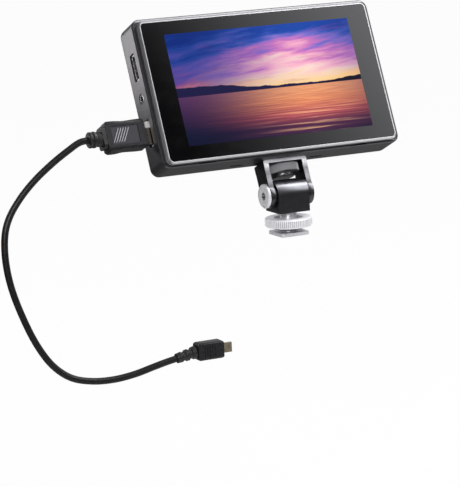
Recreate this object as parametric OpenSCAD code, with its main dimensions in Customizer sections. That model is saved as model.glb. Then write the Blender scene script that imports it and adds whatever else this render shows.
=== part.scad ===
// Camera field monitor on a tilting cold-shoe mount, with its video lead.
// Row frame: X to the viewer's right, Y away from the viewer, Z up,
// origin at the centre of the shoe foot's underside. Millimetres.

/* [Screen] */
// Width of the lit picture
picture_w = 121.8; // [118:0.1:124]
// Height of the lit picture
picture_h = 68.5; // [66:0.1:70]
// Width of the cover glass
glass_w = 148.8; // [146:0.1:149]
// Height of the cover glass
glass_h = 84.6; // [82:0.1:85]
// Thickness of the cover glass
glass_t = 1.1; // [0.7:0.1:1.4]
// Corner radius of the cover glass
glass_r = 2.4; // [1.5:0.1:3]

/* [Housing] */
// Width of the rear housing
housing_w = 156.8; // [156:0.1:158]
// Height of the rear housing
housing_h = 91.1; // [90.8:0.1:92]
// Height of the housing's middle above the screen's middle
housing_rise = 0.45; // [0.3:0.05:0.6]
// Depth from the glass to the flat back
housing_d = 24.2; // [23:0.1:28]
// Corner radius of the housing
corner_r = 5; // [4.5:0.1:6]
// Rounding of the rear edges
rear_r = 3; // [2:0.1:3.4]
// Wall thickness of the rear housing
wall = 2; // [1.8:0.1:2.2]
// Depth of the rim that holds the glass
rim_d = 3.4; // [3:0.1:4]
// Width of the rim round the glass
rim_border = 1.25; // [1.2:0.05:1.4]
// Sideways offset of the housing from the mount
mount_offset = 2.75; // [0:0.05:5]

/* [Ports] */
// Height of the empty video socket above the screen's middle
upper_port = 19.6; // [18:0.1:21]
// Distance of the plugged video socket below the screen's middle
lower_port = 20.8; // [19:0.1:22]
// Depth of the ports' centre line behind the glass
port_d = 12; // [11.9:0.1:12.6]
// Bore of the headphone socket
jack_bore = 3.6; // [3.5:0.05:3.7]

/* [Tilt mount] */
// Lean of the screen away from the viewer at rest, in degrees
tilt_rest = 23.8; // [0:0.1:60]
// Height of the tilt axis above the foot's underside
pivot_z = 24.3; // [24:0.1:28]
// Distance from the tilt axis to the housing's underside
pivot_drop = 20.3; // [20:0.1:24]
// Distance of the glass in front of the tilt axis
glass_forward = 16.5; // [15.5:0.1:17]
// Width of the tilt block along the tilt axis
block_w = 20.4; // [19:0.1:20.4]
// Radius of the tilt block's barrel
barrel_r = 8.65; // [8:0.05:9]
// Distance from the tilt axis to the block's underside
block_drop = 10.2; // [9.5:0.1:10.2]
// Outer width of the yoke
yoke_w = 28.4; // [28.4:0.1:30]
// Thickness of the yoke's arms
arm_t = 3.1; // [2.6:0.1:3.1]
// Radius of the yoke's eyes
eye_r = 7.4; // [6.8:0.1:7.6]
// Thickness of the yoke's plate
plate_t = 1.9; // [1.8:0.1:2]
// Diameter of the pivot screw's shank
pivot_d = 6; // [5:0.1:6]
// Diameter of the knurled thumb wheel
wheel_d = 20.2; // [18:0.1:20.4]
// Height of the knurled thumb wheel
wheel_h = 5.7; // [5:0.1:5.8]

/* [Shoe] */
// Width of the shoe foot
foot_w = 18.4; // [18:0.1:18.6]
// Thickness of the shoe foot
foot_t = 2; // [1.8:0.1:2]
// Room between the foot and the clamp washer
shoe_gap = 2; // [1.8:0.1:2.2]
// Diameter of the lock ring
ring_d = 28.2; // [26:0.1:29]
// Height of the lock ring
ring_h = 5.3; // [5:0.1:5.4]
// Diameter of the threaded shank
shank_d = 10; // [9:0.1:10]
// Number of grip serrations on the lock ring
serrations = 72; // [48:1:80]

/* [Lead] */
// Diameter of the lead
lead_d = 4; // [3.6:0.1:4.2]
// Length of metal shell that shows at the socket
plug_out = 3.85; // [3.5:0.05:5]
// Droop of the camera plug's boot, in degrees
boot_droop = 10; // [0:1:15]

/* [Hidden] */
$fn = 48;

fit = 0.1;                                   // clearance between parts that stay together
run = 0.05;                                  // radial clearance of a turning shaft
gap = 0.3;                                   // clearance between parts that move apart
top = housing_rise + housing_h/2;            // outer faces of the housing, in the screen's frame
bottom = housing_rise - housing_h/2;
wall_x = -housing_w/2;                       // outer face of the port side, likewise
shell_y = rim_d + run;                       // depth at which the rear housing starts
shell_edge = 0.5;                            // bevel of its front edge
ledge_t = 1.4;                               // thickness of the lip that the glass sits on
ledge_w = 4;                                 // width of that lip under the glass
tongue_d = 12;                               // how deep the frame reaches into the housing
inner_w = glass_w - 1.7;                     // clear width and height inside that tongue
inner_h = glass_h - 1.8;
back_t = 2.2;                                // thickness of the flat back
lcd_w = picture_w + 4.4;
lcd_h = picture_h + 5;
lcd_t = 1.2;
lcd_y = glass_t + 0.05;
light_t = 3.2;
light_y = lcd_y + lcd_t + 0.05;
chassis_y = 6.2;
chassis_t = 1;
board_w = 145.5;
board_h = 68;
board_t = 1.6;
socket_t = 6;                                // thickness of a video socket's metal shell
socket_w = 15;                               // width of a video socket's metal shell
socket_l = 12;
socket_in = 1;                               // how far the sockets sit behind the wall's face
board_y = port_d - socket_t/2 - board_t;     // the sockets stand on the board
video_ports = [upper_port, -lower_port];
jack_z = 0.3;
chip_x = -6.8;
chip_z = 8;
chip_t = 1.2;
jack_od = 6.2;
jack_l = 12;
dc_z = 14;
usb_z = -6;
button_x = 40;
button_w = 9;
button_t = 3.8;
button_travel = 0.6;
flange_drop = wall + 1;                      // from the top wall's face to the flange's underside
boss_x = 62;
boss_z = 33;
boss_d = 6;
screw_d = 1.8;
board_screw_d = 1.6;
plate_w = 40;                                // battery plate
plate_h = 66;
plate_base = 2.4;
plate_z = 4;
rail_h = 3.2;
contact_z = plate_h/2 - 7;
contact_pitch = 9;
plate_screw_l = 6.2;
latch_z = -20;
insert_d = 9;
insert_l = 8;
boss_w = 14;                                 // width of the boss around the insert
thread_d = 6.35;
thread_bore = thread_d + 2*run;
slot_x = 26.3;
notch_x = 50;
arm_in = yoke_w/2 - arm_t;                   // inner face of an arm
plate_top = pivot_drop - gap/3;
plate_bottom = plate_top - plate_t;
plate_deep = 13.4;                           // size of the plate along the viewing direction
arm_deep = 12.9;                             // same of an arm, above its eye
wheel_gap = 1.1;                             // between the thumb wheel and the plate
wheel_top = plate_bottom - wheel_gap;
wheel_bottom = wheel_top - wheel_h;
wheel_bevel = 0.6;
collar_d = 14.2;                             // smooth collar under the knurled part
collar_h = 1.7;
screw_tip = pivot_drop + 6.3;                // top of the mounting screw
washer_z = foot_t + shoe_gap;
washer_t = 1;
ring_z = washer_z + washer_t + run;
block_z = pivot_z - block_drop;
head_d = 14.5;
head_t = 2;
plug_l = 24.4;                               // overmould of the monitor plug
plug_h = 18.4;
plug_t = 9.4;
plug_shell_w = 13.9;
plug_shell_t = 4.45;
plug_shell_l = 12.2;
boot_l = 10.2;
plug_x = -mount_offset + wall_x - plug_out;  // front face of the overmould, along the tilt axis
plug_y = port_d - glass_forward;
screen_z = pivot_drop - bottom;              // height of the screen's middle above the tilt axis
plug_z = screen_z - lower_port;
cam_body_l = 16.5;
cam_body_h = 10.6;
cam_body_t = 8;
cam_boot_l = 13;
cam_x = -48;                                 // front face of the camera plug's overmould
cam_z = -62.6;

// ---------- frames ----------

// Frame of the yoke: origin on the tilt axis, Z square to the housing's underside
module on_yoke() translate([0, 0, pivot_z]) rotate([-tilt_rest, 0, 0]) children();

// Frame of the screen: origin at the middle of the glass, Y into the housing
module on_screen() on_yoke()
    translate([-mount_offset, -glass_forward, screen_z]) children();

// Middle of the housing, in the screen's frame
module on_housing() translate([0, 0, housing_rise]) children();

// Frame of the monitor plug: origin at the overmould's front face, X into the socket
module on_plug() on_yoke() translate([plug_x, plug_y, plug_z]) children();

// Frame of the camera plug: origin at the overmould's front face, X into the camera
module on_camera_plug() translate([cam_x, 0, cam_z]) children();

// ---------- shared shapes ----------

// Rectangle with round corners, exact arcs
module rounded(w, h, r) {
    square([w - 2*r, h], center = true);
    square([w, h - 2*r], center = true);
    for (sx = [-1, 1], sy = [-1, 1])
        translate([sx*(w/2 - r), sy*(h/2 - r)]) circle(r = r);
}

// Rounded slab across the screen, from depth y0 to depth y1
module slab(w, h, r, y0, y1) translate([0, y1, 0]) rotate([90, 0, 0])
    linear_extrude(y1 - y0) rounded(w, h, r);

// Rounded prism along X: ry is its size along Y and rz along Z
module bar_x(x0, x1, ry, rz, r) translate([x0, 0, 0]) rotate([90, 0, 90])
    linear_extrude(x1 - x0) rounded(ry, rz, r);

// Rod along X
module rod_x(x0, x1, d) translate([x0, 0, 0]) rotate([0, 90, 0]) cylinder(h = x1 - x0, d = d);

// Rod along Y, into the housing
module rod_y(y0, y1, d) translate([0, y0, 0]) rotate([-90, 0, 0]) cylinder(h = y1 - y0, d = d);

// Box from one corner to the opposite one
module box(a, b) translate(a) cube(b - a);

// Section of the video connector: two long sides, bevelled towards +Y (as 2D, width along Y)
module video_section(t, w, bevel) polygon([
    [-t/2, -w/2], [t/2 - bevel, -w/2], [t/2, -w/2 + bevel],
    [t/2, w/2 - bevel], [t/2 - bevel, w/2], [-t/2, w/2]]);

module video_bar(x0, x1, t, w, bevel) translate([x0, 0, 0]) rotate([90, 0, 90])
    linear_extrude(x1 - x0) video_section(t, w, bevel);

// Places of the four housing screws, in the screen's frame
module at_bosses() for (sx = [-1, 1], sz = [-1, 1])
    translate([sx*boss_x, 0, sz*boss_z]) children();

// Places of the four screws that hold the board
module at_board_screws() for (sx = [-1, 1], sz = [-1, 1])
    translate([sx*(board_w/2 - 4), 0, sz*(board_h/2 - 2.5)]) children();

// Places of the four screws that hold the battery plate
module at_plate_screws() for (sx = [-1, 1], sz = [-1, 1])
    translate([sx*12, housing_d + plate_base, plate_z + sz*26]) children();

// ---------- screen and housing ----------

rim_w = glass_w + 2*rim_border;
rim_h = glass_h + 2*rim_border;
rim_chamfer = 0.8;
rim_r = glass_r + 1.2;
rim_groove = 0.35;                           // depth and width of the fine groove round the rim
groove_y = 1.1;

// Rim with a bevelled front edge and a fine groove round its side, and a tongue into the housing
module front_frame() color("dimgray") on_screen() difference() {
    union() {
        hull() {
            slab(rim_w - 2*rim_chamfer, rim_h - 2*rim_chamfer, rim_r - rim_chamfer, 0, 0.1);
            slab(rim_w, rim_h, rim_r, rim_chamfer, rim_d);
        }
        on_housing() slab(housing_w - 2*wall - 2*fit, housing_h - 2*wall - 2*fit, corner_r - wall - fit,
            rim_d - 0.2, tongue_d);
    }
    difference() {
        slab(rim_w + 2, rim_h + 2, rim_r, groove_y, groove_y + rim_groove);
        slab(rim_w - 2*rim_groove, rim_h - 2*rim_groove, rim_r - rim_groove, 0, rim_d);
    }
    slab(glass_w + fit, glass_h + fit, glass_r, -1, glass_t + 0.02);
    slab(glass_w - 2*ledge_w, glass_h - 2*ledge_w, 1.5, 0, tongue_d + 1);
    slab(inner_w, inner_h, 1.5, glass_t + ledge_t, tongue_d + 1);
    // ports pass through the tongue
    for (z = video_ports) translate([wall_x, port_d, z]) bar_x(-1, 8, 7, 17.6, 1);
    translate([wall_x, port_d, jack_z]) bar_x(-1, 8, 7, 7.4, 1);
    translate([-wall_x, port_d, dc_z]) bar_x(-8, 1, 9.4, 9.6, 1);
    translate([-wall_x, port_d, usb_z]) bar_x(-8, 1, 4.6, 10.4, 1.2);
    translate([button_x, port_d, top - 4]) bar_x(-6, 6, 6, 8, 1);
    translate([mount_offset, glass_forward, bottom + 4]) cube([boss_w + 1, boss_w - 1, 8], center = true);
}

// Bonded glass with a black printed border
module cover_glass() color([0.02, 0.02, 0.03]) on_screen()
    slab(glass_w, glass_h, glass_r - fit/2, 0.05, glass_t);

// Liquid crystal cell, bonded to the glass
module lcd_panel() color("midnightblue") on_screen() slab(lcd_w, lcd_h, 0.6, lcd_y, lcd_y + lcd_t);

// Light guide in a folded steel tray, with a lamp strip along its lower edge
module backlight_unit() color("silver") on_screen() difference() {
    union() {
        slab(lcd_w, lcd_h, 0.6, light_y, light_y + light_t);
        translate([0, light_y + light_t - 0.4, -lcd_h/2 - 1.5])
            box([-lcd_w/2 + 10, -0.8, -0.5], [lcd_w/2 - 10, 0.4, 2]);
    }
    for (sx = [-1, 1]) translate([sx*lcd_w/4, light_y + light_t - 0.5, 0])
        slab(lcd_w/2 - 12, lcd_h - 16, 2, 0, 1);
}

// Pressed plate that carries the screen, with spacers for the board and ears for the screws
module mid_chassis() color("gainsboro") on_screen() difference() {
    union() {
        slab(inner_w - 0.6, inner_h - 0.6, 1.4, chassis_y, chassis_y + chassis_t);
        at_board_screws() rod_y(chassis_y, board_y, 5);
        at_bosses() rod_y(light_y + light_t + fit, chassis_y + chassis_t, boss_d);
    }
    at_board_screws() rod_y(chassis_y - 1, board_y + 1, board_screw_d);
    at_bosses() rod_y(light_y, chassis_y + 3, screw_d);
    for (sx = [-1, 1]) translate([sx*34, 0, 0]) slab(46, 36, 3, chassis_y - 1, chassis_y + 3);
}

// Circuit board with its processor, memory chips, coils and capacitors
module main_board() color("darkgreen") on_screen() difference() {
    union() {
        slab(board_w, board_h, 1.5, board_y, board_y + board_t);
        translate([chip_x, 0, chip_z]) slab(19, 19, 0.4, board_y + board_t, board_y + board_t + chip_t);
        for (i = [0:3]) translate([chip_x + 22, 0, 18 - 11*i])
            slab(12, 8, 0.3, board_y + board_t, board_y + board_t + 1);
        for (i = [0:4]) translate([chip_x - 20 + 9*i, 0, -22])
            rod_y(board_y + board_t, board_y + board_t + 4.5, 6);
        for (i = [0:2]) translate([chip_x + 36, 0, -20 + 12*i])
            slab(7, 7, 1, board_y + board_t, board_y + board_t + 3.2);
    }
    at_board_screws() rod_y(board_y - 1, board_y + board_t + 1, board_screw_d + 0.4);
    // clear of the screw bosses and of the threaded insert
    at_bosses() rod_y(board_y - 1, board_y + board_t + 1, boss_d + 1.4);
    translate([mount_offset, board_y, -board_h/2]) cube([boss_w, 2*board_t + 2, 8], center = true);
}

sink_w = 24;
fins = 8;

// Finned cooler on the processor
module heat_sink() color("slategray") on_screen()
translate([chip_x, board_y + board_t + chip_t + run, chip_z]) {
    slab(sink_w, sink_w, 0.5, 0, 1.2);
    for (i = [0:fins - 1]) translate([(sink_w - 1)*(i/(fins - 1) - 0.5), 3.6, 0])
        cube([1, 5, sink_w], center = true);
}

// Receptacle: folded metal shell with a contact tongue and two feet down to the board
module video_socket() translate([wall_x + socket_in, port_d, 0]) {
    difference() {
        video_bar(0, socket_l, socket_t - 0.6, socket_w, 1.3);
        video_bar(-1, socket_l - 2, plug_shell_t + 2*fit, plug_shell_w + 2*fit, 1.15);
    }
    box([1.5, -0.35, -5.6], [socket_l - 1.9, 0.85, 5.6]);
    for (sz = [-1, 1]) translate([0, 0, sz*(socket_w/2 - 0.1)]) box([3, -socket_t/2, -0.3], [9, 0, 0.3]);
}

module hdmi_out_socket() color("silver") on_screen() translate([0, 0, upper_port]) video_socket();
module hdmi_in_socket() color("silver") on_screen() translate([0, 0, -lower_port]) video_socket();

// Headphone socket: bored barrel with a collar at the wall and a square body behind
module audio_jack() color("dimgray") on_screen() translate([wall_x, port_d, jack_z]) difference() {
    union() {
        rod_x(0.4, 4, jack_od);
        box([4, -3, -3.2], [jack_l + 2, 3, 3.2]);
    }
    rod_x(-1, jack_l, jack_bore);
    difference() {
        rod_x(0, 0.7, jack_od - 0.6);
        rod_x(-1, 1, jack_bore + 1);
    }
}

// Power inlet on the far side: barrel with a centre pin
module dc_jack() color("dimgray") on_screen() translate([-wall_x, port_d, dc_z]) {
    difference() {
        union() {
            rod_x(-4.4, -0.4, 8.2);
            box([-14, -3, -4.5], [-4.3, 4.6, 4.5]);
        }
        rod_x(-11, 1, 5.6);
    }
    rod_x(-11.5, -2, 2);
}

// Service socket on the far side: flat oval shell with a tongue and two feet down to the board
module usb_socket() color("silver") on_screen() translate([-wall_x, port_d, usb_z]) {
    difference() {
        bar_x(-7.4, -0.5, 3.2, 9, 1.5);
        bar_x(-6.4, 1, 2.6, 8.4, 1.25);
    }
    box([-7, -0.35, -3.4], [-1.6, 0.35, 3.4]);
    for (sz = [-1, 1]) translate([0, 0, 4*sz]) box([-7.2, -socket_t/2, -0.3], [-5.2, -1, 0.3]);
}

// Tactile switch behind the power button, on feet down to the board
module power_switch() color("dimgray") on_screen()
    translate([button_x, port_d, top - flange_drop - button_travel - run]) {
        translate([0, 0, -0.9]) cylinder(h = 0.9, d = 2.6);
        box([-3, -2.6, -4], [3, 2.4, -0.8]);
        for (sx = [-1, 1]) translate([sx*2.2, 0, 0]) box([-0.5, -socket_t/2, -9], [0.5, -1.8, -3.9]);
    }

// Oblong button that stands a little proud of the top wall, with a flange that keeps it in
module power_button() color("dimgray") on_screen() translate([button_x, port_d, top]) {
    translate([0, 0, -wall - 0.3]) linear_extrude(wall + 1) rounded(button_w, button_t, button_t/2 - 0.05);
    translate([0, 0, -flange_drop]) linear_extrude(0.8) rounded(button_w + 1.6, button_t + 1.2, 1);
}

// Outer body of the rear housing with its bevelled front and rounded back edges
module housing_blank() on_housing() hull() {
    slab(housing_w - 2*shell_edge, housing_h - 2*shell_edge, corner_r - shell_edge, shell_y, shell_y + 0.1);
    slab(housing_w, housing_h, corner_r, shell_y + shell_edge, housing_d - rear_r);
    for (a = [22.5, 45, 67.5, 90])
        slab(housing_w - 2*rear_r*(1 - cos(a)), housing_h - 2*rear_r*(1 - cos(a)),
            corner_r - rear_r*(1 - cos(a)), housing_d - rear_r, housing_d - rear_r + rear_r*sin(a));
}

// Deep shell: ports on both sides, vents below and behind, screw bosses, pocket for the insert
module rear_cover() color("dimgray") on_screen() {
    difference() {
        housing_blank($fn = 32);
        on_housing() slab(housing_w - 2*wall, housing_h - 2*wall, corner_r - wall, 0, housing_d - back_t);
        // recess and window of each video socket
        for (z = video_ports) translate([wall_x, port_d, z]) {
            bar_x(-1, 0.8, 6.6, 16.4, 1.2);
            bar_x(-1, wall + 1, socket_t - 0.4, socket_w + 0.3, 0.3);
        }
        translate([wall_x, port_d, jack_z]) rod_x(-1, wall + 1, jack_od + 0.2);
        translate([-wall_x, port_d, dc_z]) rod_x(-wall - 1, 1, 8.4);
        translate([-wall_x, port_d, usb_z]) bar_x(-wall - 1, 1, 3.6, 9.4, 1.6);
        translate([button_x, port_d, top - wall - 1])
            linear_extrude(wall + 2) rounded(button_w + 0.5, button_t + 0.5, button_t/2 + 0.15);
        // two vents in the underside and their pair in the top
        for (sx = [-1, 1], z = [bottom, top]) translate([sx*slot_x, 15.5, z])
            if (z < 0 || sx < 0) linear_extrude(3*wall, center = true) rounded(8.6, 2, 0.95);
        // notches in the front ledge where a hood clips on
        on_housing() for (sx = [-1, 1], sz = [-1, 1]) translate([sx*notch_x, shell_y, sz*(housing_h/2 - 1)])
            cube([11, 2.4, 1], center = true);
        // rows of vents in the back, beside the battery plate
        for (sx = [-1, 1], i = [0:6]) translate([sx*47, 0, 18 - 6*i])
            slab(26, 1.8, 0.85, housing_d - back_t - 1, housing_d + 1);
        at_bosses() rod_y(housing_d - 1.2, housing_d + 1, 4.4);
        at_bosses() rod_y(0, housing_d + 1, screw_d + 0.6);
        at_plate_screws() rod_y(-plate_screw_l - 1, 1, screw_d);
        latch_window();
        translate([mount_offset, glass_forward, bottom - 1]) cylinder(h = wall + 2, d = insert_d);
    }
    at_bosses() difference() {
        rod_y(chassis_y + chassis_t + fit, housing_d - back_t + 0.1, boss_d);
        rod_y(0, housing_d, screw_d + 0.6);
    }
    // boss that carries the threaded insert
    translate([mount_offset, glass_forward, bottom]) difference() {
        translate([0, 1.2, wall - 0.1 + insert_l/2]) cube([boss_w, boss_w - 1.2, insert_l], center = true);
        translate([0, 0, -1]) cylinder(h = insert_l + wall + 2, d = insert_d);
    }
}

// Slide-on battery plate: base, four hooked rails, contact block and latch window
module battery_plate() color("dimgray") on_screen() difference() {
    translate([0, housing_d, plate_z]) union() {
        slab(plate_w, plate_h, 2, 0.02, plate_base);
        for (sx = [-1, 1], sz = [-1, 1]) translate([sx*(plate_w/2 - 1.6), plate_base - 0.1, sz*15 + 2]) {
            box([-1.6, 0, -8], [1.6, rail_h, 8]);
            translate([-1.4*sx, rail_h - 0.6, 0]) cube([3.2, 1.2, 16], center = true);
        }
        translate([0, plate_base, contact_z]) box([-14, -0.1, -2.4], [14, 3, 2.4]);
    }
    // room for the contact blades
    for (i = [-1:1]) translate([i*contact_pitch, housing_d + plate_base, plate_z + contact_z])
        box([-0.7, -1.2, -4], [0.7, 1.6, 1.2]);
    latch_window();
    at_plate_screws() rod_y(-plate_base - 1, 1, screw_d + 0.3);
    at_plate_screws() rod_y(-1, 1, 3.8);
}

// Four screws that hold the battery plate on the housing
module plate_screws() color("silver") on_screen() at_plate_screws() difference() {
    union() {
        rod_y(-0.95, -0.05, 3.4);
        rod_y(-plate_screw_l, -0.9, screw_d);
    }
    translate([0, -0.5, 0]) rotate([-90, 0, 0]) cross_slot();
}

// Three spring blades in the contact block
module battery_contacts() color("gold") on_screen() for (i = [-1:1])
    translate([i*contact_pitch, housing_d + plate_base, plate_z + contact_z]) {
        box([-0.6, -1.1, -3.8], [0.6, -0.7, 1.1]);
        box([-0.6, -1.1, -3.8], [0.6, 1.4, -3.4]);
    }

// Opening in which the catch slides, through the plate and the wall behind it
module latch_window() translate([0, housing_d, plate_z + latch_z])
    box([-5.3, -back_t - 1, -4.3], [5.3, plate_base + 1, 6.3]);

// Catch that springs out under the battery: a wedge, a ribbed finger tab and an inner flange
module battery_latch() color("black") on_screen() translate([0, housing_d, plate_z + latch_z]) {
    box([-5, -back_t - 0.5, -4], [5, plate_base - 0.4, 6]);
    box([-6.2, -back_t - 1.3, -5.2], [6.2, -back_t - gap, 7.2]);
    translate([0, plate_base - 0.5, 0]) rotate([90, 0, 90]) linear_extrude(6, center = true)
        polygon([[0, 1], [2.4, 4], [2.4, 5.6], [0, 5.6]]);
    for (i = [0:2]) translate([0, plate_base - 0.5, -3.4 + 1.4*i]) box([-4, 0, 0], [4, 0.9, 0.7]);
}

// Threaded insert for the mounting screw
module thread_insert() color("goldenrod") on_screen()
    translate([mount_offset, glass_forward, bottom + 0.2]) difference() {
        cylinder(h = insert_l, d = insert_d - fit);
        translate([0, 0, -1]) cylinder(h = insert_l + 2, d = thread_bore);
        for (z = [2.6, 5.2]) translate([0, 0, z]) difference() {
            cylinder(h = 0.8, d = insert_d + 1);
            translate([0, 0, -1]) cylinder(h = 3, d = insert_d - 0.8);
        }
    }

// Recess of a cross-headed screw, from the origin upwards
module cross_slot() {
    cube([2.2, 0.5, 2], center = true);
    cube([0.5, 2.2, 2], center = true);
}

// Four long screws from the back into the chassis
module rear_screws() color("black") on_screen() at_bosses() difference() {
    union() {
        rod_y(housing_d - 1.15, housing_d - 0.2, 4.1);
        rod_y(chassis_y, housing_d - 1.1, screw_d);
    }
    translate([0, housing_d + 0.3, 0]) rotate([-90, 0, 0]) cross_slot();
}

// Four short screws that hold the board on the chassis
module board_screws() color("silver") on_screen() at_board_screws() {
    rod_y(board_y + board_t, board_y + board_t + 1.2, 3.6);
    rod_y(chassis_y, board_y + board_t + 0.1, board_screw_d);
}

// ---------- tilt mount ----------

// Outline of an arm seen along the tilt axis: a round eye under a slightly wider root
module arm_outline() {
    circle(r = eye_r);
    translate([-arm_deep/2, 0]) square([arm_deep, plate_top]);
    translate([-plate_deep/2, plate_bottom - 3]) square([plate_deep, plate_t + 3]);
}

bend_r = 1.2;

// U-shaped bracket: plate with a clearance hole, two arms that end in eyes
module yoke_bracket() color([0.12, 0.12, 0.13]) on_yoke() difference() {
    intersection() {
        rotate([90, 0, 90]) linear_extrude(yoke_w + 2, center = true) arm_outline();
        rotate([90, 0, 0]) linear_extrude(2*eye_r + 2, center = true) difference() {
            translate([0, (plate_top - eye_r)/2 - bend_r])
                rounded(yoke_w, plate_top + eye_r + 2*bend_r, bend_r);
            translate([-arm_in, -2*eye_r]) square([2*arm_in, plate_bottom + 2*eye_r]);
        }
    }
    rod_x(-yoke_w, 0, pivot_d + 2*run);
    rod_x(0, yoke_w, pivot_d);
    translate([0, 0, plate_bottom - 1]) cylinder(h = 4, d = thread_d + 0.6);
    translate([0, 0, plate_top - 0.7]) linear_extrude(2) rounded(yoke_w - 7, plate_deep - 3, 1);
}

// Friction pad let into the top of the plate
module plate_pad() color([0.05, 0.05, 0.05]) on_yoke() difference() {
    translate([0, 0, plate_top - 0.68]) linear_extrude(0.73) rounded(yoke_w - 7.2, plate_deep - 3.2, 0.9);
    cylinder(h = 40, d = thread_d + 0.8);
}

// Knurled wheel with bevelled rims over a smooth collar
module thumb_wheel() color([0.12, 0.12, 0.13]) on_yoke() difference() {
    rotate_extrude() polygon([[0, wheel_bottom - collar_h], [collar_d/2 - wheel_bevel, wheel_bottom - collar_h],
        [collar_d/2, wheel_bottom - collar_h + wheel_bevel], [collar_d/2, wheel_bottom],
        [wheel_d/2 - wheel_bevel, wheel_bottom], [wheel_d/2, wheel_bottom + wheel_bevel],
        [wheel_d/2, wheel_top - wheel_bevel], [wheel_d/2 - wheel_bevel, wheel_top], [0, wheel_top]]);
    translate([0, 0, wheel_bottom + 1]) cylinder(h = wheel_h, d = thread_d);
}

// Mounting screw fixed in the wheel, with a bevelled tip
module thumb_screw() color("silver") on_yoke() rotate_extrude() polygon([
    [0, wheel_bottom + 1], [thread_d/2, wheel_bottom + 1], [thread_d/2, screw_tip - 0.8],
    [thread_d/2 - 0.8, screw_tip], [0, screw_tip]]);

// Pivot screw: broad turned head with a stepped face and a hexagon socket, long shank
module pivot_screw() color("gainsboro") on_yoke() difference() {
    rotate([0, 90, 0]) rotate_extrude() polygon([
        [0, yoke_w/2 - 0.1], [pivot_d/2 - 0.4, yoke_w/2 - 0.1], [pivot_d/2, yoke_w/2 - 0.5],
        [pivot_d/2, -yoke_w/2 - run], [head_d/2, -yoke_w/2 - run],
        [head_d/2, -yoke_w/2 - head_t + 0.7], [head_d/2 - 0.7, -yoke_w/2 - head_t],
        [4.3, -yoke_w/2 - head_t], [4, -yoke_w/2 - head_t + 0.35], [0, -yoke_w/2 - head_t + 0.35]]);
    translate([-yoke_w/2 - head_t - 1, 0, 0]) rotate([0, 90, 0]) cylinder(h = 3.2, d = 4.6, $fn = 6);
}

// Two thin washers between the arms and the block
module friction_washers() color([0.05, 0.05, 0.05]) on_yoke() for (sx = [-1, 1])
    translate([sx*(arm_in + block_w/2 + run)/2, 0, 0]) difference() {
        rod_x(-(arm_in - block_w/2 - 3*run)/2, (arm_in - block_w/2 - 3*run)/2, 13);
        rod_x(-2, 2, pivot_d + 2*run);
    }

// Barrel on a square foot, bored for the pivot and for the shank
module tilt_block() color([0.12, 0.12, 0.13]) translate([0, 0, pivot_z]) difference() {
    rotate([90, 0, 90]) linear_extrude(block_w, center = true) {
        circle(r = barrel_r);
        translate([-barrel_r, -block_drop]) square([2*barrel_r, block_drop]);
    }
    rod_x(-block_w, block_w, pivot_d + 2*run);
    translate([0, 0, -block_drop - 1]) cylinder(h = 5.4, d = shank_d);
    for (sx = [-1, 1]) translate([sx*(block_w/2 + 0.2), 0, 0]) rod_x(-0.5, 0.5, 13.4);
}

// Square foot plate with a threaded shank that screws into the block
module shoe_foot() color("silver") {
    linear_extrude(foot_t) rounded(foot_w, foot_w, 1.6);
    cylinder(h = block_z + 4.2, d = shank_d);
}

// Washer that the ring presses onto the shoe
module clamp_washer() color([0.2, 0.2, 0.21]) translate([0, 0, washer_z]) difference() {
    cylinder(h = washer_t, d = 20);
    translate([0, 0, -1]) cylinder(h = 4, d = shank_d + 2*run);
}

groove = 0.45;                               // depth of the ring's serrations

// Serrated nut with bevelled rims and a dished top
module lock_ring() color("silver") translate([0, 0, ring_z]) difference() {
    intersection() {
        linear_extrude(ring_h) polygon([for (i = [0:2*serrations - 1])
            let (a = 180*i/serrations, r = ring_d/2 - (i % 2)*groove) [r*cos(a), r*sin(a)]]);
        rotate_extrude() polygon([[0, 0], [ring_d/2 - 0.8, 0], [ring_d/2 + 0.1, 0.9],
            [ring_d/2 + 0.1, ring_h - 0.9], [ring_d/2 - 0.8, ring_h], [0, ring_h]]);
    }
    translate([0, 0, -1]) cylinder(h = ring_h + 2, d = shank_d + 2*run);
    translate([0, 0, ring_h - 1]) cylinder(h = 2, d = 17);
}

// ---------- lead ----------

waist_s = 13;                                // the overmould is narrowest this far behind its front face
waist_half = 8.25;
rear_lobe = plug_h/2 - waist_half;           // extra half height of the lobes behind and in front of it
front_lobe = 0.4;

// Half height of the monitor plug's outline at distance s behind its front face
function plug_half(s) = waist_half + (s > waist_s ? rear_lobe*(1 - cos(22.5*(s - waist_s)))/2
    : front_lobe*(1 - cos(20*(s - waist_s)))/2);

// Metal shell of the monitor plug, hollow at its tip
module hdmi_plug_shell() color("silver") on_plug() difference() {
    video_bar(0.02, plug_shell_l, plug_shell_t, plug_shell_w, 1.1);
    video_bar(2.5, plug_shell_l + 1, plug_shell_t - 0.7, plug_shell_w - 0.7, 0.9);
}

grip_x = -21.3;                              // rear end of the grip panel
grip_l = 17;
grip_h = 11;
grip_depth = 0.45;
ridge_pitch = 1.6;
ridge_w = 0.7;
ridge_lean = 28;

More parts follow.
